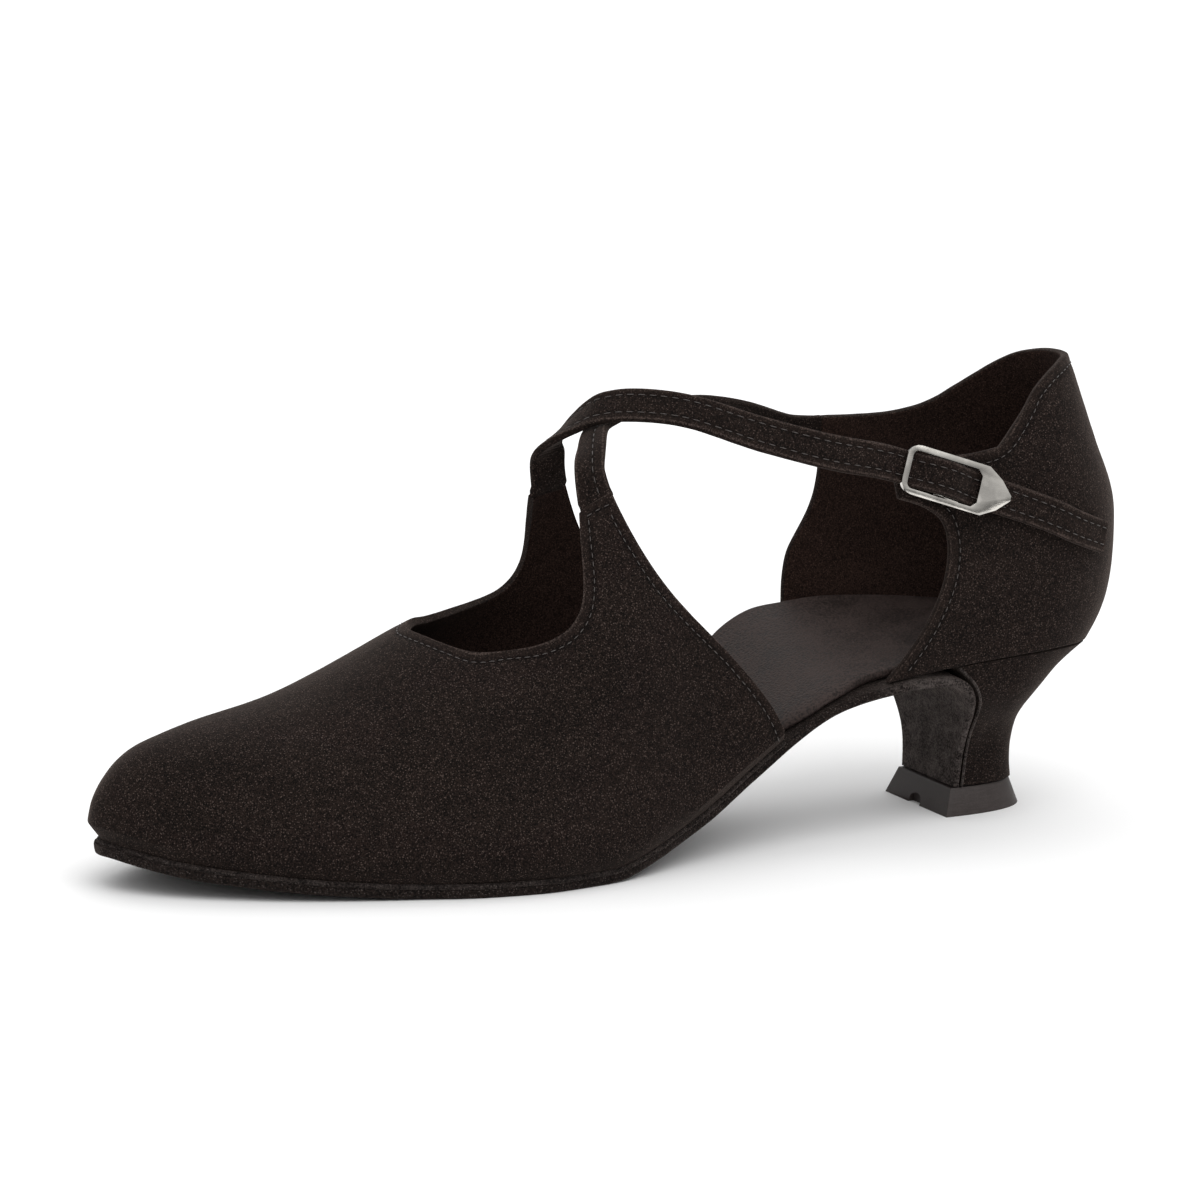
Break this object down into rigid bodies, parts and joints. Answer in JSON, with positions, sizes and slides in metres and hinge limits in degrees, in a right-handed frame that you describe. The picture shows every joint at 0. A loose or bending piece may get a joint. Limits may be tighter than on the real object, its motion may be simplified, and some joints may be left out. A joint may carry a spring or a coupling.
{
  "type": "dance shoe",
  "caption": "Left ballroom dance shoe with a closed almond toe, open waist, two crossed instep straps, a pointed buckle and a low flared heel.",
  "frame": {"origin": "centre of the top lift's underside, on the floor", "axes": "toe towards -X, heel towards +X, lateral (outer) side towards -Y, medial side towards +Y, up +Z"},
  "size_m": [0.2484, 0.0855, 0.1052],
  "materials": {
    "upper_suede": "brown-black suede with a fine short nap",
    "heel_suede": "brown-black suede covering",
    "sole_suede": "rough suede, fuzzy cut edge",
    "sock_leather": "smooth dark charcoal leather, soft sheen",
    "lift_plastic": "dark grey satin plastic",
    "nickel": "polished nickel plating"
  },
  "bodies": {
    "root": {"outsole": "sole_suede", "heel": "heel_suede", "top_lift": "lift_plastic", "insole": "sock_leather", "vamp": "upper_suede", "quarter": "upper_suede", "instep_strap": "upper_suede", "cross_strap": "upper_suede", "buckle_frame": "nickel", "buckle_prong": "nickel", "buckle_keeper": "upper_suede"}
  },
  "joints": []
}
